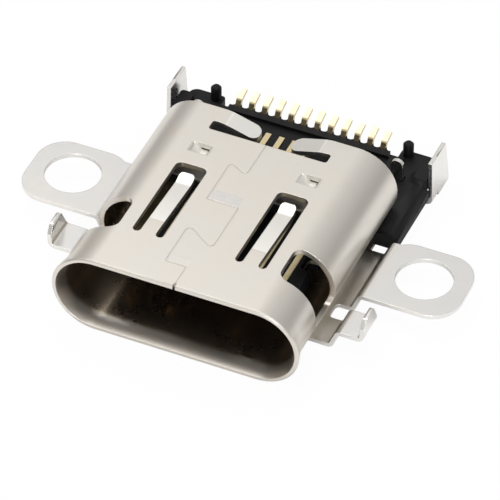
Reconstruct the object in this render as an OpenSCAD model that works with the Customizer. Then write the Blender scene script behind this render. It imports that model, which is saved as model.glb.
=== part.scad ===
// Board-mounted 24-contact USB-C receptacle with two screw ears.
// The mouth faces -Y and the side that lies against the circuit board faces +Z.
// The sheet-metal underside lies on z = 0. Modules measure y from the front of the mouth.

/* [Mouth and shell] */
// Inside width of the mouth
mouth_w = 8.34; // [8.2:0.02:8.5]
// Inside height of the mouth
mouth_h = 2.56; // [2.5:0.02:2.64]
// Sheet thickness of the shell
shell_t = 0.2; // [0.16:0.02:0.24]
// Length of the shell, front rim to rear edge
shell_l = 8.8; // [8.5:0.1:9.2]
// Depth over which the rim flares out
rim_l = 0.6; // [0.4:0.05:0.8]
// How far the rim flares out at each side
rim_side = 0.06; // [0.02:0.01:0.12]
// Width of the folded seam's gap
seam_gap = 0.03; // [0.02:0.01:0.06]
// Width to which the gap opens at the front lip
seam_lip = 0.09; // [0.07:0.01:0.14]

/* [Shell cut-outs] */
// Distance from the centre to the middle of each contact spring
spring_x = 1.88; // [1.8:0.02:2.0]
// Width of each contact spring
spring_w = 0.56; // [0.4:0.02:0.64]
// Width of the slot round each spring
spring_slot = 0.29; // [0.2:0.01:0.34]
// Distance between the spring slots and the lances behind them
spring_back = 0.64; // [0.5:0.02:0.7]
// Length of the spring slots
spring_l = 3.75; // [3.4:0.05:3.9]
// How far the springs reach into the mouth
spring_dip = 0.16; // [0.05:0.01:0.22]
// Where the corner reliefs begin behind the mouth
relief_y = 1.8; // [1.6:0.05:2.0]
// Length of the corner reliefs
relief_l = 1.62; // [1.4:0.05:1.8]
// How far the corner reliefs reach in from the shell's side
relief_in = 1.41; // [1.27:0.02:1.51]
// Height above the underside at which the reliefs end
relief_z = 1.14; // [1.0:0.02:1.3]
// Length of the notch in the rear edge of the board side
notch_l = 1.15; // [1.0:0.05:1.3]
// Width of the slits in front of the rear clips
clip_slit = 0.45; // [0.3:0.05:0.5]
// Distance from the centre to the outer ends of those slits
clip_end = 2.2; // [2.0:0.05:2.5]
// Distance from the centre to the tips of the rear clips
clip_tip = 0.6; // [0.5:0.05:0.9]
// How far the rear clips bend down
clip_dip = 0.4; // [0.1:0.02:0.5]
// Distance from the centre to the middle of each lance
lance_x = 2.02; // [1.9:0.02:2.2]
// Distance from the front of the lances to the rear notch
lance_back = 1.29; // [1.1:0.02:1.35]
// How far the lances are pressed down into the moulding
lance_drop = 0.22; // [0.17:0.01:0.24]

/* [Bracket] */
// Sheet thickness of the bracket
plate_t = 0.15; // [0.12:0.01:0.18]
// Height of the shell's flat underside, which sits on the bracket
seat_z = 0.2; // [0.19:0.01:0.24]
// How far the plate stays in from the shell's side
plate_in = 0.32; // [0.2:0.02:0.5]
// Height of the ears' board face above the underside
ear_z = 0.87; // [0.7:0.02:1.0]
// Distance from the shell's side to the centres of the screw holes
ear_out = 2.2; // [2.0:0.02:2.4]
// Diameter of the screw holes
screw_d = 2.0; // [1.6:0.1:2.2]
// Distance from the mouth to the screw holes
screw_y = 5.96; // [5.8:0.02:6.1]
// Length of the ears along the shell
ear_l = 3.1; // [2.8:0.05:3.2]
// Wall of the ear outside the screw hole
ear_wall = 0.57; // [0.5:0.01:0.9]
// Where the front solder hooks begin behind the mouth
hook_y = 2.42; // [2.3:0.02:2.6]
// Length of the front solder hooks along the shell
hook_l = 1.2; // [0.9:0.05:1.3]
// Distance from the shell's side to the outside of the front hooks
hook_out = 1.49; // [1.35:0.02:1.8]
// Height of the front hooks' tips above the underside
hook_z = 1.6; // [1.4:0.02:1.9]
// Distance from the shell's side to the outside of the rear solder legs
leg_out = 0.63; // [0.58:0.01:0.8]
// Height of the rear solder legs above the underside
leg_z = 1.87; // [1.6:0.02:2.1]
// Distance from the shell's rear edge to the rear solder legs
leg_back = 1.56; // [1.4:0.02:1.7]
// Length of the rear solder legs at the top
leg_l = 1.22; // [0.9:0.02:1.3]
// Height of the two round lugs behind the shell
lug_z = 1.75; // [1.5:0.05:2.0]
// Width of the round lugs
lug_w = 0.45; // [0.36:0.01:0.5]

/* [Tongue] */
// Width of the tongue
tongue_w = 6.69; // [6.5:0.01:6.8]
// Thickness of the tongue
tongue_t = 0.7; // [0.66:0.01:0.76]
// Where the tongue begins behind the mouth
tongue_y = 1.45; // [1.3:0.05:1.7]
// Where the recesses for the plug's latches begin behind the mouth
latch_y = 3.6; // [3.4:0.05:3.8]
// Length of the thick root of the tongue
root_l = 0.6; // [0.5:0.05:0.7]
// Height of the thick root of the tongue
root_h = 1.3; // [1.2:0.02:1.4]
// Length of the block that fills the shell behind the root
plug_l = 1.35; // [1.25:0.05:1.45]
// Thickness of the steel plate inside the tongue
mid_t = 0.15; // [0.1:0.01:0.2]
// Thickness of the two ground plates on the root
ground_t = 0.1; // [0.08:0.01:0.14]

/* [Contacts] */
// Contacts in each row
contacts = 12; // [8:2:12]
// Distance between contacts
pitch = 0.5; // [0.48:0.01:0.52]
// Width of the contacts on the tongue
contact_w = 0.2; // [0.16:0.01:0.24]
// Width of the solder feet
foot_w = 0.2; // [0.16:0.01:0.22]
// Thickness of the contacts
contact_t = 0.14; // [0.1:0.01:0.16]
// Where the signal contacts begin behind the mouth
signal_y = 2.7; // [2.5:0.05:2.9]
// Where the longer power and ground contacts begin
power_y = 2.17; // [2.0:0.05:2.3]
// Height of the solder feet's board face above the underside
board_z = 1.37; // [1.3:0.01:1.45]
// How far the front row of solder feet reaches behind the shell
foot_l = 1.3; // [1.1:0.02:1.5]
// How far the rear row of solder feet reaches behind the shell
tail_l = 3.15; // [3.1:0.01:3.3]

/* [Rear moulding] */
// Height of the ledge that carries the rear row of feet
ledge_z = 1.0; // [0.9:0.01:1.04]
// Length of the ledge behind the shell
ledge_l = 2.68; // [2.6:0.01:2.75]
// How far the ledge passes the outermost feet at each side
ledge_side = 0.3; // [0.2:0.01:0.35]
// Height of the wings beside the shell
wing_z = 0.89; // [0.75:0.01:1.0]
// How far the wings stand out from the shell's side
wing_out = 0.56; // [0.45:0.01:0.62]
// How far the wings reach forward beside the shell
wing_l = 1.25; // [1.1:0.05:1.4]
// Width of the bevel along the wings
wing_bevel = 0.22; // [0.1:0.01:0.3]
// Length of the blocks that carry the pegs, behind the shell
block_l = 2.93; // [2.9:0.01:3.0]
// How far the locating pegs stand in from the shell's side
peg_in = 0.72; // [0.67:0.01:0.77]
// Diameter of the locating pegs
peg_d = 0.38; // [0.32:0.01:0.42]
// Height of the locating pegs above the underside
peg_z = 1.47; // [1.4:0.01:1.8]

/* [Hidden] */
$fn = 48;
// Gap left between pieces that lie beside each other without touching
gap = 0.02;
// Overlap by which a cut passes the face it opens
over = 0.1;
// Inside radius of the bends in the sheet metal
bend_r = 0.1;

// Width of the lances and their length along the shell
lance_w = 0.78;
lance_l = 0.5;

shell_w = mouth_w + 2 * shell_t;
shell_h = mouth_h + 2 * shell_t;
plate_z = seat_z - plate_t;
top_z = seat_z + shell_h;
mouth_z = seat_z + shell_h / 2;
sheet_z = top_z - shell_t / 2;
side_x = shell_w / 2;
notch_y = shell_l - notch_l;
lance_y = notch_y - lance_back;
slot_end = lance_y - spring_back;
spring_y = slot_end - spring_l;
relief_x = side_x - relief_in;
plate_x = side_x - plate_in;
hook_x = side_x + hook_out;
leg_x = side_x + leg_out;
leg_y = shell_l + leg_back;
ear_pitch = shell_w + 2 * ear_out;
foot_y = shell_l + foot_l;
tail_y = shell_l + tail_l;
ledge_y = shell_l + ledge_l;
ledge_x = (contacts - 1) * pitch / 2 + ledge_side;
wing_x = side_x + wing_out;
wing_y = shell_l - wing_l;
block_y = shell_l + block_l;
peg_pitch = shell_w - 2 * peg_in;
ear_y = screw_y - 1.63;
ear_x = ear_pitch / 2 + screw_d / 2 + ear_wall;
riser_x = plate_x + 0.72;
lug_x = plate_x - 0.29;
lug_y = leg_y - 0.03;
peg_y = block_y - peg_d / 2 - gap;
proud = 0.02;
run_z = tongue_t / 2 + proud - contact_t / 2;
foot_z = board_z - contact_t / 2;
fill_y = notch_y + 0.1;
drop_y = fill_y - 0.16;
plug_y = fill_y - plug_l;
root_y = plug_y - root_l;
mid_end = drop_y - 0.45;
clip_under = sheet_z - clip_dip - shell_t / 2 - gap;
bed_z = board_z - contact_t - 0.24;
lances = [-lance_x - lance_w / 2, lance_x - lance_w / 2];
wafer_y = [plug_y + 0.25, drop_y - 0.3];
wafer_x = (contacts - 1) * pitch / 2 + 0.35;
wafer_h = mouth_h / 2 - 0.3;
power_at = [1, 4, contacts - 3, contacts];

// ---- Placing -------------------------------------------------------------

module framed() translate([0, -tail_y / 2, 0]) children();

// Extrude an outline drawn in X and Z from y0 to y1.
module along_y(y0, y1) translate([0, y1, 0]) rotate([90, 0, 0]) linear_extrude(y1 - y0) children();

// Extrude an outline drawn in Y and Z from x0 to x1.
module along_x(x0, x1) translate([x0, 0, 0]) rotate([90, 0, 90]) linear_extrude(x1 - x0) children();

// Extrude an outline drawn in X and Y from z0 to z1.
module along_z(z0, z1) translate([0, 0, z0]) linear_extrude(z1 - z0) children();

module both_sides() {
    children();
    mirror([1, 0, 0]) children();
}

// ---- Outlines ------------------------------------------------------------

// Slot with full-round ends, lying along its width.
module stadium(w, h) {
    square([w - h, h], center = true);
    for (s = [-1, 1]) translate([s * (w - h) / 2, 0]) circle(d = h);
}

// Rectangle from corner a to corner b with rounded corners.
module rounded(a, b, r) {
    translate([a[0] + r, a[1]]) square([b[0] - a[0] - 2 * r, b[1] - a[1]]);
    translate([a[0], a[1] + r]) square([b[0] - a[0], b[1] - a[1] - 2 * r]);
    for (x = [a[0] + r, b[0] - r], y = [a[1] + r, b[1] - r]) translate([x, y]) circle(r);
}

function unit(v) = v / norm(v);

// Points of the arc of radius r that rounds corner b between a and c.
function corner_arc(a, b, c, r, n = 6) =
    let (u = unit(a - b), v = unit(c - b), half = acos(u * v) / 2)
    half > 89 ? [b] :
    let (centre = b + unit(u + v) * r / sin(half),
         p = b + u * r / tan(half) - centre, q = b + v * r / tan(half) - centre,
         from = atan2(p[1], p[0]), turn = atan2(p[0] * q[1] - p[1] * q[0], p * q))
    [for (i = [0:n]) centre + r * [cos(from + turn * i / n), sin(from + turn * i / n)]];

// A path with each inner corner rounded.
function bent(path, r) = concat([path[0]],
    [for (i = [1:len(path) - 2]) each corner_arc(path[i - 1], path[i], path[i + 1], r)],
    [path[len(path) - 1]]);

function normal(a, b) = let (u = unit(b - a)) [-u[1], u[0]];

// Offset of point i of a path, mitred between its two neighbouring stretches.
function mitre(path, i, d) = let (
    last = len(path) - 1,
    m = i > 0 ? normal(path[i - 1], path[i]) : normal(path[0], path[1]),
    n = i < last ? normal(path[i], path[i + 1]) : normal(path[last - 1], path[last]))
    path[i] + (m + n) * d / (1 + m * n);

// Edge view of a sheet of thickness t that follows a path.
module sheet(path, t) polygon(concat(
    [for (i = [0:len(path) - 1]) mitre(path, i, t / 2)],
    [for (i = [len(path) - 1:-1:0]) mitre(path, i, -t / 2)]));

// ---- Shell ---------------------------------------------------------------

// Thin slice across the rim or tube, used to loft the flare.
module slice(y, w, h, z) along_y(y, y + 0.01) translate([0, z]) stadium(w, h);

// Flared front rim: its lower lip reaches the bracket's underside, its top stays level.
module rim(inset) {
    rim_z = top_z / 2;
    rim_w = shell_w + 2 * rim_side + seat_z;
    lip = 0.05;
    hull() {
        slice(0, rim_w - 2 * inset - 2 * lip, top_z - 2 * inset - 2 * lip, rim_z);
        slice(lip, rim_w - 2 * inset, top_z - 2 * inset, rim_z);
        slice(rim_l, shell_w - 2 * inset, shell_h - 2 * inset, mouth_z);
    }
}

module rim_mouth() {
    rim_w = shell_w + 2 * rim_side + seat_z;
    hull() {
        slice(-0.01, rim_w - 1.5 * shell_t, top_z - 1.6 * shell_t, top_z / 2);
        slice(rim_l, mouth_w, mouth_h, mouth_z);
    }
}

// Dovetailed seam where the two edges of the rolled sheet meet on the board side.
module seam() {
    inner = -0.77;
    outer = 0.41;
    rear = bent([[-0.02, notch_y + over], [-0.03, notch_y - 1.68], [inner - 0.01, notch_y - 1.27],
                 [inner, notch_y - 1.9]], 0.13);
    middle = [[inner, 4.38], [outer, 4.38]];
    front = bent([[outer, 3.3], [outer, 2.15], [inner - 0.01, 2.97], [inner, 2.3]], 0.15);
    end = [[inner, 1.04], [0, 1.04], [0, -over]];
    along_z(sheet_z - shell_t, top_z + over) {
        sheet(concat(rear, middle, front, end), seam_gap);
        translate([-seam_lip / 2, -over]) square([seam_lip, over + 0.16]);
    }
}

// Window in which one spring lies.
module spring_window() {
    half = spring_w / 2 + spring_slot;
    for (s = [-1, 1]) translate([spring_x + s * (half - spring_slot / 2), spring_y + spring_slot / 2])
        circle(d = spring_slot);
    translate([spring_x - half, spring_y + spring_slot / 2]) square([2 * half, 1]);
    rounded([spring_x - half, spring_y + 0.4], [spring_x + half, slot_end], 0.24);
}

// Contact spring: it dips into the mouth and its tip turns back out.
module spring() {
    tip_y = slot_end - spring_slot - 0.09;
    root_end = spring_y + 0.3;
    intersection() {
        along_x(spring_x - spring_w / 2, spring_x + spring_w / 2)
            sheet(bent([[spring_y - 0.2, sheet_z], [root_end, sheet_z],
                        [tip_y - 0.4, sheet_z - spring_dip], [tip_y + 0.01, sheet_z - 0.02]], 0.6), shell_t);
        along_z(0, top_z + over)
            rounded([spring_x - spring_w / 2, 0], [spring_x + spring_w / 2, tip_y], 0.2);
    }
}

// Small bridge pressed down into the moulding: it hangs on both ends and is cut free at its sides.
module lance_window(x) along_z(sheet_z - shell_t, top_z + over)
    translate([x, lance_y]) square([lance_w, lance_l]);
module lance(x) along_y(lance_y, lance_y + lance_l)
    sheet([[x - 0.08, sheet_z], [x, sheet_z], [x + 0.34, sheet_z - lance_drop],
           [x + lance_w - 0.14, sheet_z - lance_drop], [x + lance_w, sheet_z],
           [x + lance_w + 0.08, sheet_z]], shell_t - 0.03);

// Opening round each corner of the tube behind the mouth.
module relief() intersection() {
    along_z(0, top_z + over) rounded([relief_x, relief_y], [shell_w, relief_y + relief_l], 0.38);
    along_x(0, shell_w) rounded([relief_y, relief_z], [relief_y + relief_l, top_z + 1], 0.3);
}

// Clip that bends down over the moulding behind the notch.
module rear_clip() intersection() {
    along_y(notch_y + clip_slit, shell_l)
        sheet(bent([[clip_end + 0.3, sheet_z], [clip_end - 0.34, sheet_z],
                    [clip_tip - 0.1, sheet_z - clip_dip]], 1.4), shell_t);
    along_z(0, top_z + over) rounded([clip_tip, notch_y + clip_slit], [clip_end + 1, shell_l], 0.3);
}

// Half of the notch in the rear edge, with the slit in front of one clip.
module rear_notch() {
    front = [clip_end, notch_y];
    back = [clip_end, notch_y + clip_slit];
    polygon(concat([[-0.01, notch_y]], corner_arc([0, notch_y], front, back, 0.1),
        corner_arc(front, back, [0, notch_y + clip_slit], 0.1),
        [[clip_end - 0.12, notch_y + clip_slit], [clip_end - 0.12, shell_l + over], [-0.01, shell_l + over]]));
}

module main_shell() color([0.86, 0.84, 0.81]) framed() {
    difference() {
        union() {
            along_y(rim_l, shell_l) translate([0, mouth_z]) stadium(shell_w, shell_h);
            rim(0);
        }
        along_y(rim_l - 0.01, shell_l + over) translate([0, mouth_z]) stadium(mouth_w, mouth_h);
        rim_mouth();
        seam();
        both_sides() {
            along_z(mouth_z, top_z + over) spring_window();
            relief();
            along_z(mouth_z, top_z + over) rear_notch();
        }
        for (x = lances) lance_window(x);
    }
    both_sides() {
        spring();
        rear_clip();
    }
    for (x = lances) lance(x);
}

// ---- Bracket -------------------------------------------------------------

// Closed outline with every corner rounded.
function softened(shape, r) = let (n = len(shape))
    [for (i = [0:n - 1]) each corner_arc(shape[(i + n - 1) % n], shape[i], shape[(i + 1) % n], r)];

// Centre line from under the shell up the step to the ears' height.
function stepped(z, points) = concat([[plate_x - 0.5, seat_z - plate_t / 2],
    [riser_x - 0.14, seat_z - plate_t / 2], [riser_x + 0.12, z - plate_t / 2]], points);

// Outline of one ear with its screw hole, from under the shell outwards.
module ear_outline() difference() {
    union() {
        rounded([riser_x, ear_y], [ear_x, ear_y + ear_l], 1.05);
        translate([plate_x - 1, ear_y]) square([riser_x - plate_x + 2.2, ear_l - 0.2]);
    }
    translate([ear_pitch / 2, screw_y]) circle(d = screw_d);
}

module ear() intersection() {
    along_y(ear_y, ear_y + ear_l)
        sheet(bent(stepped(ear_z, [[ear_x, ear_z - plate_t / 2]]), bend_r + plate_t / 2), plate_t);
    along_z(-over, ear_z + over) ear_outline();
}

// Front solder hook: it steps up to the ears' height and its end turns up.
module hook() intersection() {
    flat_z = ear_z - 0.02;
    along_y(hook_y, hook_y + hook_l)
        sheet(bent(stepped(flat_z, [[hook_x - 0.03 - plate_t / 2, flat_z - plate_t / 2],
                                    [hook_x - plate_t / 2, hook_z]]), bend_r + plate_t / 2), plate_t);
    along_x(plate_x - 1, hook_x + over)
        polygon(softened([[hook_y, -1], [hook_y + hook_l, -1], [hook_y + hook_l, ear_z],
                          [hook_y + hook_l - 0.36, hook_z], [hook_y + 0.22, hook_z],
                          [hook_y, hook_z - 0.35]], 0.14));
}

// Rear solder leg: a wide plate that stands on a narrow strip bent up from the bracket.
module leg() {
    foot = [leg_x + 0.05 - plate_t / 2, plate_t / 2];
    head = [leg_x - plate_t / 2, leg_z];
    slant = 0.23;
    along_y(leg_y, leg_y + 0.48)
        sheet(bent([[plate_x - 0.5, seat_z - plate_t / 2], [leg_x - 0.55, seat_z - plate_t / 2],
                    [leg_x - 0.35, plate_t / 2], foot, head], bend_r + plate_t / 2), plate_t);
    intersection() {
        along_y(leg_y, leg_y + leg_l + slant) sheet([foot, head], plate_t);
        along_x(leg_x - 1, leg_x + 1)
            polygon([[leg_y, 0.35], [leg_y + 0.48, 0.35], [leg_y + 0.55, 0], [leg_y + leg_l + slant, 0],
                     [leg_y + leg_l + slant, 0.5], [leg_y + leg_l, leg_z], [leg_y, leg_z]]);
    }
}

// Round-topped lug turned up out of a window in the plate.
module lug() intersection() {
    mid_y = lug_y - plate_t / 2;
    along_x(lug_x - lug_w / 2, lug_x + lug_w / 2)
        sheet(bent([[mid_y + 0.3, seat_z - plate_t / 2], [mid_y, seat_z - plate_t / 2],
                    [mid_y, lug_z]], 0.1), plate_t);
    along_y(lug_y - 1, lug_y + 1) {
        translate([lug_x - lug_w / 2, 0]) square([lug_w, lug_z - lug_w / 2]);
        translate([lug_x, lug_z - lug_w / 2]) circle(d = lug_w);
    }
}

module lug_window() rounded([lug_x - lug_w / 2 - 0.06, lug_y - lug_z],
                            [lug_x + lug_w / 2 + 0.06, lug_y + 0.12], 0.1);

// Flat of the bracket: full width up to the hooks and ears, with round notches between them.
module plate_outline() difference() {
    union() {
        translate([-plate_x, hook_y]) square([2 * plate_x, leg_y + 0.48 - hook_y]);
        rounded([-plate_x - 0.4, wing_y + 0.6], [plate_x + 0.4, leg_y + 0.48], 0.15);
        both_sides() translate([plate_x - 0.1, hook_y + 0.3])
            square([riser_x - plate_x - 0.2, ear_y + ear_l - 0.5 - hook_y]);
    }
    both_sides() {
        rounded([plate_x, hook_y + hook_l], [riser_x + 1, ear_y], 0.16);
        lug_window();
    }
}

module mounting_bracket() color([0.84, 0.82, 0.79]) framed() {
    along_z(plate_z, seat_z) plate_outline();
    both_sides() {
        ear();
        hook();
        leg();
        lug();
    }
}

// ---- Contacts ------------------------------------------------------------

function contact_x(i) = (i - (contacts + 1) / 2) * pitch;
function tip_y(i) = len(search(i, power_at)) > 0 ? power_y : signal_y;

// Stretch on the tongue: its tip turns into the plastic. side is 1 for the board side.
module contact_run(i, side, points) {
    z = mouth_z + side * run_z;
    path = concat([[tip_y(i), z - side * 0.1], [tip_y(i) + 0.16, z]], points);
    along_x(contact_x(i) - contact_w / 2, contact_x(i) + contact_w / 2)
        sheet(bent(path, 0.12), contact_t);
}

// Board-side contact: it steps half a pitch sideways and ends in the front row of feet.
module upper_contact(i) {
    x = contact_x(i) + pitch / 2;
    z = mouth_z + run_z;
    step_z = board_z + 0.14;
    contact_run(i, 1, [[drop_y, z], [drop_y, step_z]]);
    along_y(drop_y - contact_t / 2, drop_y + contact_t / 2)
        translate([contact_x(i) - contact_w / 2, step_z])
        square([x + foot_w / 2 - contact_x(i) + contact_w / 2, 0.2]);
    along_x(x - foot_w / 2, x + foot_w / 2)
        sheet(bent([[drop_y, step_z + 0.2], [drop_y, foot_z], [foot_y, foot_z]], 0.12), contact_t);
}

// Lower contact: it runs on under the ledge and rises to the rear row of feet.
module lower_contact(i) {
    z = mouth_z - run_z;
    deep = 0.55;
    contact_run(i, -1, [[drop_y - 0.3, z], [drop_y - 0.3, deep], [drop_y, deep]]);
    along_x(contact_x(i) - foot_w / 2, contact_x(i) + foot_w / 2)
        sheet(bent([[drop_y - 0.1, deep], [ledge_y - 0.3, deep], [ledge_y + 0.04, foot_z - 0.12],
                    [tail_y, foot_z]], 0.12), contact_t);
}

module all_contacts() for (i = [1:contacts]) {
    upper_contact(i);
    lower_contact(i);
}

// ---- Tongue and mouldings --------------------------------------------------

// Recess in each side of the tongue for the plug's latches.
module latch_recess() both_sides() translate([tongue_w / 2, latch_y]) rounded([-0.36, 0], [0.36, 0.8], 0.15);

// Steel plate between the two rows; its side edges are what the plug's latches grip.
module mid_plate_body() along_z(mouth_z - mid_t / 2, mouth_z + mid_t / 2) difference() {
    union() {
        rounded([-tongue_w / 2 + gap, tongue_y + 0.12], [tongue_w / 2 - gap, root_y - 0.2], 0.3);
        translate([-tongue_w / 2 + 0.5, root_y - 1]) square([tongue_w - 1, mid_end - root_y + 1]);
    }
    latch_recess();
    for (x = [-1.5, 0, 1.5]) translate([x, plug_y]) circle(d = 0.6);
}

// Ground plate on one face of the thick root, with a flange against the block behind it.
module ground_plate(side) {
    z = mouth_z + side * (root_h + ground_t) / 2;
    along_x(-tongue_w / 2 + 0.1, tongue_w / 2 - 0.1)
        sheet(bent([[root_y + 0.05, z], [plug_y - ground_t / 2, z],
                    [plug_y - ground_t / 2, mouth_z + side * (mouth_h / 2 - lance_drop - 0.12)]], 0.1), ground_t);
}

// Inner moulding that one row of contacts is laid in before the outer moulding is shot.
module wafer(side) along_x(-wafer_x, wafer_x) translate([0, mouth_z + side * mid_t / 2])
    scale([1, side]) difference() {
        translate([wafer_y[0], 0]) square([wafer_y[1] - wafer_y[0], wafer_h]);
        translate([wafer_y[1] - 0.3, wafer_h - 0.2]) square([1, 1]);
    }

// Plastic of the tongue with a bevelled front edge.
module tongue() difference() {
    along_x(-tongue_w / 2, tongue_w / 2) translate([0, mouth_z]) polygon([
        [tongue_y, -tongue_t / 2 + 0.15], [tongue_y + 0.2, -tongue_t / 2], [root_y + over, -tongue_t / 2],
        [root_y + over, tongue_t / 2], [tongue_y + 0.2, tongue_t / 2], [tongue_y, tongue_t / 2 - 0.15]]);
    along_z(0, top_z) latch_recess();
}

// Filling of the shell's rear end: a bed under the feet between two shoulders under the clips.
module filling() along_y(fill_y - over, shell_l + 2 * gap) intersection() {
    translate([0, mouth_z]) stadium(mouth_w - gap, mouth_h - gap);
    polygon([[-mouth_w, 0], [mouth_w, 0], [mouth_w, clip_under], [clip_tip + 0.7, clip_under],
             [clip_tip + 0.3, bed_z], [-clip_tip - 0.3, bed_z], [-clip_tip - 0.7, clip_under],
             [-mouth_w, clip_under]]);
}

// Ledge under the rear row of feet, scalloped between them, with a pocket in front.
module ledge() difference() {
    along_z(seat_z, ledge_z) {
        translate([-ledge_x, shell_l + gap]) square([2 * ledge_x, ledge_y - shell_l - gap]);
        translate([-peg_pitch / 2, shell_l + gap]) square([peg_pitch, ledge_y - 0.3 - shell_l - gap]);
    }
    along_z(0, ledge_z + over) for (i = [0:contacts])
        translate([contact_x(i) + pitch / 2, ledge_y]) circle(d = pitch - foot_w - 0.02);
    along_z(bed_z - 0.14, ledge_z + over)
        rounded([-ledge_x - 0.1, shell_l - 0.6], [ledge_x + 0.1, ledge_y - 0.42], 0.1);
}

// Wing beside the shell with its bevelled edge, the block behind it and the locating peg.
module wing() {
    block_x = leg_x - 0.34;
    block_in = peg_pitch / 2 - peg_d / 2 - 0.1;
    difference() {
        union() {
            along_y(wing_y, leg_y - 0.06) polygon([[mouth_w / 2 - 0.6, seat_z], [wing_x - 0.05, seat_z],
                [wing_x, seat_z + 0.1], [wing_x, wing_z - wing_bevel], [wing_x - wing_bevel, wing_z],
                [mouth_w / 2 - 0.6, wing_z]]);
            translate([mouth_w / 2 - 0.85, shell_l + gap, seat_z])
                cube([block_x - mouth_w / 2 + 0.85, leg_y - shell_l, wing_z - seat_z]);
        }
        along_y(wing_y - over, shell_l + gap) translate([0, mouth_z])
            stadium(shell_w + 4 * gap, shell_h + 4 * gap);
    }
    along_z(seat_z, wing_z) polygon(concat([[block_x, leg_y - 0.3], [block_in, leg_y - 0.3]],
        corner_arc([block_in, leg_y], [block_in, block_y], [block_x, block_y], 0.12),
        corner_arc([block_in, block_y], [block_x, block_y], [block_x, leg_y], 0.3)));
    along_z(wing_z - 0.1, wing_z + 0.26)
        rounded([mouth_w / 2 + 0.16, leg_y - 0.12], [leg_x - plate_t - gap, leg_y + 0.85], 0.12);
    translate([peg_pitch / 2, peg_y, seat_z]) {
        cylinder(d = peg_d, h = peg_z - seat_z - 0.08);
        translate([0, 0, peg_z - seat_z - 0.08]) cylinder(d1 = peg_d, d2 = peg_d - 0.14, h = 0.08);
    }
}

// Pocket in the moulding that one of the shell's lances dips into.
module lance_pocket(x) along_z(sheet_z - shell_t / 2 - lance_drop - gap, top_z)
    translate([x - gap, lance_y - gap]) square([lance_w + 4 * gap, lance_l + 2 * gap]);

// Slot in the moulding for one bracket lug.
module lug_slot() along_z(0, top_z)
    translate([lug_x - lug_w / 2 - gap, lug_y - plate_t - gap])
    square([lug_w + 2 * gap, plate_t + 0.12 + gap]);

module housing() color([0.12, 0.12, 0.13]) framed() difference() {
    union() {
        tongue();
        along_y(root_y, plug_y) translate([0, mouth_z]) stadium(tongue_w + 0.9, root_h);
        along_y(plug_y, fill_y) translate([0, mouth_z]) stadium(mouth_w - gap, mouth_h - gap);
        filling();
        ledge();
        both_sides() wing();
    }
    both_sides() lug_slot();
    for (x = lances) lance_pocket(x);
    for (side = [-1, 1]) {
        wafer(side);
        ground_plate(side);
    }
    mid_plate_body();
    all_contacts();
}

module upper_wafer() color([0.16, 0.16, 0.17]) framed() difference() {
    wafer(1);
    all_contacts();
}

module lower_wafer() color([0.16, 0.16, 0.17]) framed() difference() {
    wafer(-1);
    all_contacts();
}

module mid_plate() color([0.75, 0.74, 0.72]) framed() mid_plate_body();

module upper_ground_plate() color([0.75, 0.74, 0.72]) framed() ground_plate(1);

module lower_ground_plate() color([0.75, 0.74, 0.72]) framed() ground_plate(-1);

// ---- Pieces --------------------------------------------------------------

main_shell();
mounting_bracket();
housing();
upper_wafer();
lower_wafer();
mid_plate();
upper_ground_plate();
lower_ground_plate();
for (i = [1:contacts]) {
    color([0.9, 0.84, 0.62]) framed() upper_contact(i);
    color([0.9, 0.84, 0.62]) framed() lower_contact(i);
}
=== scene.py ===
import math

import bmesh
import bpy
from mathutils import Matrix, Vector


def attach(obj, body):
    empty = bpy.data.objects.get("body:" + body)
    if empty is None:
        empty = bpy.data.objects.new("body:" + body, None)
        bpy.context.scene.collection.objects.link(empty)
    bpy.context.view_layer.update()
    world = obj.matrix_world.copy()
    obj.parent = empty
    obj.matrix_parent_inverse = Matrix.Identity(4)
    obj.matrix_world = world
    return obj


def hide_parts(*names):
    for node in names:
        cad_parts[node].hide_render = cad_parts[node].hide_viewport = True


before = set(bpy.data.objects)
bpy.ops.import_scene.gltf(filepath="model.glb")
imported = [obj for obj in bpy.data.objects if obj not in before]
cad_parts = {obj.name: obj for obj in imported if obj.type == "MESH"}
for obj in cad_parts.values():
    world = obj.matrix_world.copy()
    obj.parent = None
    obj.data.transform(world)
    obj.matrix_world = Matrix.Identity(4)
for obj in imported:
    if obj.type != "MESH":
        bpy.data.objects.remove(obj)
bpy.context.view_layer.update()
MM = 0.001

# ---- Main shell ----------------------------------------------------------------------
# One sheet of nickel-plated stainless steel, rolled into a tube and joined by a
# dovetailed seam. Satin outside and lighter where the punch coined it; the bent springs and clips are painted
# lighter as painted light, and the bore is painted darker as painted shade.


CREASE = math.radians(20.0)


def finished_copy(node, name):
    """The CAD piece as one welded skin: round at bends, flat elsewhere, sharp at its cut edges."""
    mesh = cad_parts[node].data.copy()
    made = bmesh.new()
    made.from_mesh(mesh)
    bmesh.ops.remove_doubles(made, verts=made.verts, dist=0.0005 * MM)
    for face in made.faces:
        face.smooth = True
    made.to_mesh(mesh)
    made.free()
    mesh.set_sharp_from_angle(angle=CREASE)
    piece = bpy.data.objects.new(name, mesh)
    bpy.context.scene.collection.objects.link(piece)
    even = piece.modifiers.new("even_flats", "WEIGHTED_NORMAL")
    even.keep_sharp = True
    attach(piece, "root")
    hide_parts(node)
    return piece


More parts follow.
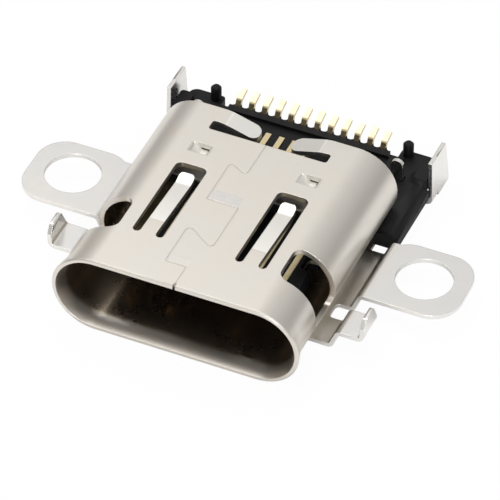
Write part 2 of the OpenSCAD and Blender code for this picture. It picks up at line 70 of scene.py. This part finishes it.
class Value:
    """A socket of a material, with which sums are written as they are on paper."""

    def __init__(self, tree, socket):
        self.tree = tree
        self.socket = socket

    def node(self, kind, settings=None, output=0, **inputs):
        """Any other node: its settings first, then the values or links of its sockets by name."""
        made = self.tree.nodes.new(kind)
        for key, value in (settings or {}).items():
            if key == "stops":
                ramp = made.color_ramp
                while len(ramp.elements) < len(value):
                    ramp.elements.new(0.5)
                for element, (place, colour) in zip(ramp.elements, value):
                    element.position = place
                    element.color = (*colour, 1.0)
            else:
                setattr(made, key, value)
        for key, value in inputs.items():
            slot = made.inputs[int(key[1:])] if key[1:].isdigit() else made.inputs[key.replace("_", " ")]
            if isinstance(value, Value):
                self.tree.links.new(value.socket, slot)
            else:
                slot.default_value = value
        return Value(self.tree, made.outputs[output])

    def maths(self, operation, other, swap=False):
        first, second = (other, self) if swap else (self, other)
        return self.node("ShaderNodeMath", {"operation": operation}, _0=first, _1=second)

    def __add__(self, other):
        return self.maths("ADD", other)

    __radd__ = __add__

    def __sub__(self, other):
        return self.maths("SUBTRACT", other)

    def __rsub__(self, other):
        return self.maths("SUBTRACT", other, swap=True)

    def __mul__(self, other):
        return self.maths("MULTIPLY", other)

    def __gt__(self, other):
        return self.maths("GREATER_THAN", other)

    def __lt__(self, other):
        return self.maths("LESS_THAN", other)

    def __truediv__(self, other):
        return self.maths("DIVIDE", other)

    def clipped(self):
        return self.node("ShaderNodeClamp", None, _0=self)

    def size(self):
        return self.maths("ABSOLUTE", 0.0)

    def root(self):
        return self.maths("SQRT", 0.0)

    def within(self, low, high, soft):
        """1 between two bounds, falling to 0 over the soft width outside them."""
        return 1.0 - ((self - (low + high) / 2).size() / soft - (high - low) / (2 * soft)).clipped()

    def blend(self, first, second):
        """This value, from 0 to 1, takes one colour over into another."""
        return self.node("ShaderNodeMix", {"data_type": "RGBA"}, 2, _0=self, _6=first, _7=second)


def new_finish(name, **constants):
    """A material with its shader's plain values set, and its place on the piece as a first value."""
    made = bpy.data.materials.new(name)
    made.use_nodes = True
    shader = made.node_tree.nodes["Principled BSDF"]
    for key, value in constants.items():
        shader.inputs[key.replace("_", " ")].default_value = value
    start = Value(made.node_tree, None)
    place = start.node("ShaderNodeTexCoord", None, 3)
    return made, shader, place


def plug_in(shader, **values):
    for key, value in values.items():
        value.tree.links.new(value.socket, shader.inputs[key.replace("_", " ")])


def blotches(place, size_mm, detail=2.0, stretch=(1.0, 1.0, 1.0)):
    """Soft uneven patches, about size_mm across."""
    laid = place.node("ShaderNodeMapping", None, 0, Vector=place, Scale=stretch)
    return laid.node("ShaderNodeTexNoise", None, 0, Vector=laid, Scale=1.0 / (size_mm * MM), Detail=detail)


def nickel(name, tint, roughness, grain_depth=0.02):
    """Nickel plating with faint warm clouds. Gives the material, its shader and its main values."""
    finish, shader, place = new_finish(name, Metallic=1.0)
    clouds = blotches(place, 1.5, 3.0)
    small_clouds = blotches(place, 0.35, 2.0)
    grain = blotches(place, 0.05, 2.0, (1.0, 0.3, 1.0))
    warm = ((clouds - 0.4) * 2.5 + (small_clouds - 0.5) * 0.8).clipped()
    colour = warm.blend((*tint, 1.0), (tint[0] * 0.985, tint[1] * 0.96, tint[2] * 0.93, 1.0))
    edges = place.node("ShaderNodeBevel", {"samples": 4}, 0, Radius=0.03 * MM)
    bumps = place.node("ShaderNodeBump", None, 0, Strength=grain_depth, Distance=0.01 * MM, Height=grain,
                       Normal=edges)
    rough = roughness + (clouds - 0.5) * 0.08 + (small_clouds - 0.5) * 0.05
    plug_in(shader, Base_Color=colour, Roughness=rough, Normal=bumps)
    return finish, shader, place, colour, rough


# The tube in millimetres: its lip's distance from the origin, the height of its middle line,
# the half width of its flat part, its outer and inner radii, and the flare's length and growth.
LIP_Y = 5.975
MIDDLE_Z = 1.68
STRAIGHT = 2.89
OUTER_R = 1.48
INNER_R = 1.28
FLARE_L = 0.6
FLARE_DOWN = 0.1
FLARE_SIDE = 0.06
# How much more than the sheet's own slope the inner lip's normals lean out.
LIP_ROLL = 5.5
# A corner takes the round form's normal if it lies this near to it and its face this close in angle.
NEAR = 0.04
ALIKE = 0.85


def round_off(piece):
    """Gives the tube and its rim the normals of the true round form, and rolls the inner lip outwards."""
    even = piece.evaluated_get(bpy.context.evaluated_depsgraph_get()).data
    normals = [Vector(corner.vector) for corner in even.corner_normals]
    for face in piece.data.polygons:
        for corner in face.loop_indices:
            x, y, z = piece.data.vertices[piece.data.loops[corner].vertex_index].co / MM
            flared = min(max((FLARE_L - y - LIP_Y) / FLARE_L, 0.0), 1.0)
            beside = math.copysign(max(abs(x) - STRAIGHT - FLARE_SIDE * flared, 0.0), x)
            above = z - MIDDLE_Z + FLARE_DOWN * flared
            depth = math.hypot(beside, above)
            if depth < 0.5:
                continue
            slope = (FLARE_DOWN - (FLARE_DOWN * above - FLARE_SIDE * abs(beside)) / depth) / FLARE_L
            slope = slope if flared > 0.02 else 0.0
            outward = Vector((beside / depth, slope, above / depth)).normalized()
            rolled = Vector((beside / depth, slope * LIP_ROLL, above / depth)).normalized()
            growth = FLARE_DOWN * flared
            if abs(depth - OUTER_R - growth) < NEAR and face.normal.dot(outward) > ALIKE:
                normals[corner] = outward
            elif abs(depth - INNER_R - growth) < NEAR and face.normal.dot(outward) < -ALIKE:
                normals[corner] = -rolled
    piece.modifiers.clear()
    piece.data.normals_split_custom_set(normals)


shell = finished_copy("main_shell", "shell_skin")
round_off(shell)
shell.data.materials.clear()
satin, shader, place, colour, rough = nickel("satin_nickel", (0.725, 0.69, 0.635), 0.34)
across = place.node("ShaderNodeSeparateXYZ", None, 0, Vector=place) / MM
along = place.node("ShaderNodeSeparateXYZ", None, 1, Vector=place) / MM + LIP_Y
up = place.node("ShaderNodeSeparateXYZ", None, 2, Vector=place) / MM
# The seam was coined flat behind two of its steps, which left lighter, smoother patches.
coined = ((up > 3.1) * (across.within(-0.72, 0.36, 0.06) * along.within(4.42, 4.88, 0.06)
                        + across.within(-0.72, 0.02, 0.06) * along.within(1.06, 1.32, 0.06) * 0.5)).clipped()
# Behind the lip the inner wall is painted dark brown, as painted shade and reflection of the dark bore: the
# distance from the tube's middle line tells it from the outer face.
flare = ((FLARE_L - along) / FLARE_L).clipped()
beside = (across.size() - STRAIGHT).maths("MAXIMUM", 0.0)
above = up - MIDDLE_Z + flare * FLARE_DOWN
depth = (beside * beside + above * above).root()
inner_face = (depth < INNER_R + 0.03 + flare * FLARE_DOWN) * (1.0 - (along > 0.7) * (up > 2.2))
# painted shade: the inner wall is painted darker from just behind the lip inwards
painted_bore_shade = inner_face * (1.0 - (flare - 0.05) * 4.0).clipped()
# The springs and clips, bent down from the top, are painted lighter: painted light, so their sloped faces read
# as bright as the flat top.
painted_spring_light = (depth < 1.45) * (up > 2.2) * (along > 0.7) * (across.size() < 2.3)
# The base colour takes the painted shade in the bore and the painted light on the springs and clips.
plug_in(shader,
        Base_Color=painted_bore_shade.blend(painted_spring_light.blend(coined.blend(colour, (0.78, 0.755, 0.72, 1.0)),
                                                (0.88, 0.86, 0.81, 1.0)),
                                (0.50, 0.41, 0.31, 1.0)),
        Roughness=rough * (1.0 - coined * 0.25) - painted_bore_shade * 0.06)
shell.data.materials.append(satin)

# ---- Seam floor ----------------------------------------------------------------------
# The sheet's rolled edges meet tightly, so the seam is only a shallow groove: this strip
# inside the sheet closes it from below, up to the small gap at the lip.
STRIP_SIZE = Vector((1.35, 7.45, 0.1))
STRIP_MIDDLE = Vector((-0.175 * MM, -2.05 * MM, 3.1 * MM))
strip_made = bmesh.new()
bmesh.ops.create_cube(strip_made, size=MM)
bmesh.ops.scale(strip_made, verts=strip_made.verts, vec=STRIP_SIZE)
bmesh.ops.translate(strip_made, verts=strip_made.verts, vec=STRIP_MIDDLE)
strip_mesh = bpy.data.meshes.new("seam_floor")
strip_made.to_mesh(strip_mesh)
strip_made.free()
strip_mesh.materials.append(satin)
strip = bpy.data.objects.new("seam_floor", strip_mesh)
bpy.context.scene.collection.objects.link(strip)
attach(strip, "root")

# ---- Bracket -------------------------------------------------------------------------
# One pressed nickel-plated sheet under the shell with the two screw ears, the front
# hooks, the rear solder legs and the two round lugs.
bracket = finished_copy("mounting_bracket", "bracket_skin")
bracket.data.materials.clear()
bracket.data.materials.append(nickel("bright_nickel", (0.84, 0.825, 0.80), 0.24, 0.01)[0])

# ---- Mouldings -----------------------------------------------------------------------
# Glass-filled black plastic: the tongue, the block and wings round the shell's rear end,
# and the two inner mouldings that hold the rows of contacts.


def moulded(name, grey, roughness):
    finish, shader, place = new_finish(name, Base_Color=(*grey, 1.0), Specular_IOR_Level=0.18)
    sand = blotches(place, 0.03, 3.0)
    patches = blotches(place, 0.9, 2.0)
    edges = place.node("ShaderNodeBevel", {"samples": 4}, 0, Radius=0.035 * MM)
    bumps = place.node("ShaderNodeBump", None, 0, Strength=0.25, Distance=0.01 * MM, Height=sand, Normal=edges)
    plug_in(shader, Roughness=roughness + (patches - 0.5) * 0.2, Normal=bumps)
    return finish


body_plastic = moulded("black_moulding", (0.008, 0.008, 0.009), 0.48)
for node in ("housing", "upper_wafer", "lower_wafer"):
    part = finished_copy(node, node + "_skin")
    part.data.materials.clear()
    part.data.materials.append(body_plastic)

# ---- Inner plates --------------------------------------------------------------------
# Bare stainless steel: the plate inside the tongue and the two ground plates on its root.
plate_finish = nickel("bare_steel", (0.62, 0.61, 0.59), 0.35)[0]
for node in ("mid_plate", "upper_ground_plate", "lower_ground_plate"):
    part = finished_copy(node, node + "_skin")
    part.data.materials.clear()
    part.data.materials.append(plate_finish)

# ---- Contacts ------------------------------------------------------------------------
# Twenty-four stamped copper-alloy strips with a pale gold plating, twelve in each row.
gold, shader, place = new_finish("pale_gold", Metallic=1.0)
cloud = blotches(place, 0.25, 2.0)
# The tips near the mouth are painted a brighter, deeper gold and made less metallic and rougher: partly the
# thicker gold of a wiping face, partly a painted highlight for the glints on their bends.
tip_gold_and_glint = (place.node("ShaderNodeSeparateXYZ", None, 1, Vector=place) / MM + LIP_Y < 2.4) * 1.0
# painted highlight: brighter gold at the tips near the mouth
plug_in(shader,
        Base_Color=tip_gold_and_glint.blend(cloud.blend((0.74, 0.64, 0.42, 1.0), (0.62, 0.50, 0.28, 1.0)),
                              (0.95, 0.68, 0.32, 1.0)),
        Roughness=0.34 + (cloud - 0.5) * 0.15 + tip_gold_and_glint * 0.2, Metallic=1.0 - tip_gold_and_glint * 0.6)
for row in ("upper", "lower"):
    for number in range(1, 13):
        part = finished_copy(f"{row}_contact_{number}", f"{row}_contact_{number}_skin")
        part.data.materials.clear()
        part.data.materials.append(gold)

# ---- Floor, light and camera ---------------------------------------------------------
# A pale floor, a wide soft lamp overhead, a weak one in front and a small low one that
# shines into the mouth, as on a product table.
floor_made = bmesh.new()
bmesh.ops.create_grid(floor_made, x_segments=1, y_segments=1, size=0.6)
floor_mesh = bpy.data.meshes.new("floor")
floor_made.to_mesh(floor_mesh)
floor_made.free()
floor = bpy.data.objects.new("floor", floor_mesh)
floor.location = (0.0, 0.0, -0.01 * MM)
bpy.context.scene.collection.objects.link(floor)
paper = bpy.data.materials.new("white_paper")
paper.use_nodes = True
tree = paper.node_tree
paper_shader = tree.nodes["Principled BSDF"]
paper_shader.inputs["Base Color"].default_value = (0.92, 0.92, 0.92, 1.0)
paper_shader.inputs["Roughness"].default_value = 0.9
glow = tree.nodes.new("ShaderNodeEmission")
glow.inputs["Color"].default_value = (1.0, 1.0, 1.0, 1.0)
path = tree.nodes.new("ShaderNodeLightPath")
mixed = tree.nodes.new("ShaderNodeMixShader")
share = tree.nodes.new("ShaderNodeMath")
share.operation = "MULTIPLY"
share.inputs[1].default_value = 0.96
tree.links.new(path.outputs["Is Camera Ray"], share.inputs[0])
tree.links.new(share.outputs[0], mixed.inputs[0])
tree.links.new(paper_shader.outputs[0], mixed.inputs[1])
tree.links.new(glow.outputs[0], mixed.inputs[2])
tree.links.new(mixed.outputs[0], tree.nodes["Material Output"].inputs["Surface"])
floor_mesh.materials.append(paper)

world = bpy.data.worlds.new("studio")
bpy.context.scene.world = world
world.use_nodes = True
sky = Value(world.node_tree, None)
background = world.node_tree.nodes["Background"]
heading = sky.node("ShaderNodeTexCoord", None, 0)
height = heading.node("ShaderNodeSeparateXYZ", None, 2, Vector=heading)
room = height.node("ShaderNodeValToRGB", {"stops": [(0.0, (0.46, 0.45, 0.44)), (0.35, (0.60, 0.59, 0.58)),
                                                    (0.7, (0.88, 0.88, 0.88)), (1.0, (0.95, 0.95, 0.95))]},
                   0, Fac=height)
seen = sky.node("ShaderNodeLightPath", None, 0)
world.node_tree.links.new(seen.blend(room, (1.0, 1.0, 1.0, 1.0)).socket, background.inputs["Color"])
background.inputs["Strength"].default_value = 0.85


def soft_lamp(name, place, aim, size, power):
    lamp = bpy.data.lights.new(name, "AREA")
    lamp.shape = "RECTANGLE"
    lamp.size, lamp.size_y = size
    lamp.energy = power
    stand = bpy.data.objects.new(name, lamp)
    stand.location = place
    stand.rotation_mode = "QUATERNION"
    stand.rotation_quaternion = (Vector(aim) - Vector(place)).to_track_quat("-Z", "Y")
    bpy.context.scene.collection.objects.link(stand)


soft_lamp("overhead", (-0.10, 0.05, 0.35), (0.0, 0.0, 0.0), (0.30, 0.30), 0.55)
soft_lamp("front", (0.05, -0.35, 0.20), (0.0, 0.0, 0.0), (0.25, 0.15), 0.12)
soft_lamp("mouth", (0.06, -0.30, 0.06), (0.0, 0.0, 0.0), (0.10, 0.05), 0.35)

camera = bpy.data.cameras.new("camera")
camera.lens = 378.9
camera.sensor_width = 36.0
camera.clip_start = 0.01
camera.clip_end = 5.0
stand = bpy.data.objects.new("camera", camera)
stand.location = (0.053876, -0.120720, 0.122651)
stand.rotation_mode = "QUATERNION"
stand.rotation_quaternion = Vector((-0.297932, 0.668972, -0.680965)).to_track_quat("-Z", "Y")
bpy.context.scene.collection.objects.link(stand)
bpy.context.scene.camera = stand

bpy.context.scene.view_settings.view_transform = "Standard"
